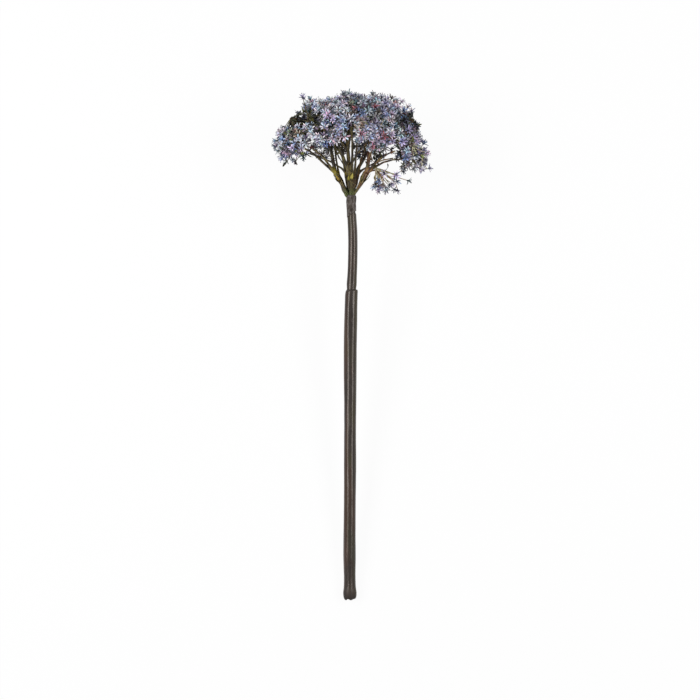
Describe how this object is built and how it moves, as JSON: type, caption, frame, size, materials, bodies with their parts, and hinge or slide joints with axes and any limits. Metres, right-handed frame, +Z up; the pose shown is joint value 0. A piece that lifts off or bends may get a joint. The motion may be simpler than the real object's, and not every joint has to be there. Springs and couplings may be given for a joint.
{
  "type": "artificial trachelium flower stem",
  "caption": "Artificial trachelium: a flat-topped dome of small starry florets on forked moulded sprays, above a two-stage dark coated stem, lying on its back.",
  "frame": {"origin": "middle of the bounding box, on the surface that the flower lies on", "axes": "+Y along the stem from its cut end to the head, +X to the flower's right, +Z up; the flower's front faces up"},
  "size_m": [0.1526, 0.499, 0.1379],
  "materials": {
    "stem_coating": "dark brown-grey coating, satin, with soft streaks along the stem",
    "wrap_tape": "dark brown-grey floral tape, matt and wrinkled",
    "spray_plastic": "olive to red-brown moulded plastic, satin",
    "floret_plastic": "dusty lavender and slate-blue plastic with pale edges and pink touches, matt"
  },
  "bodies": {
    "root": {"lower_stem": "stem_coating", "upper_stem": "stem_coating", "stem_wrap": "wrap_tape", "spray_1": "spray_plastic", "spray_2": "spray_plastic", "spray_3": "spray_plastic", "spray_4": "spray_plastic", "spray_5": "spray_plastic", "spray_core": "spray_plastic", "umbellet_01": "floret_plastic", "umbellet_02": "floret_plastic", "umbellet_03": "floret_plastic", "umbellet_04": "floret_plastic", "umbellet_05": "floret_plastic", "umbellet_06": "floret_plastic", "umbellet_07": "floret_plastic", "umbellet_08": "floret_plastic", "umbellet_09": "floret_plastic", "umbellet_10": "floret_plastic", "umbellet_11": "floret_plastic", "umbellet_12": "floret_plastic", "umbellet_13": "floret_plastic", "umbellet_14": "floret_plastic", "umbellet_15": "floret_plastic", "umbellet_16": "floret_plastic", "umbellet_17": "floret_plastic", "umbellet_18": "floret_plastic", "umbellet_19": "floret_plastic", "umbellet_20": "floret_plastic", "umbellet_21": "floret_plastic", "umbellet_22": "floret_plastic", "umbellet_23": "floret_plastic", "umbellet_24": "floret_plastic", "umbellet_25": "floret_plastic", "umbellet_26": "floret_plastic", "umbellet_27": "floret_plastic"}
  },
  "joints": []
}
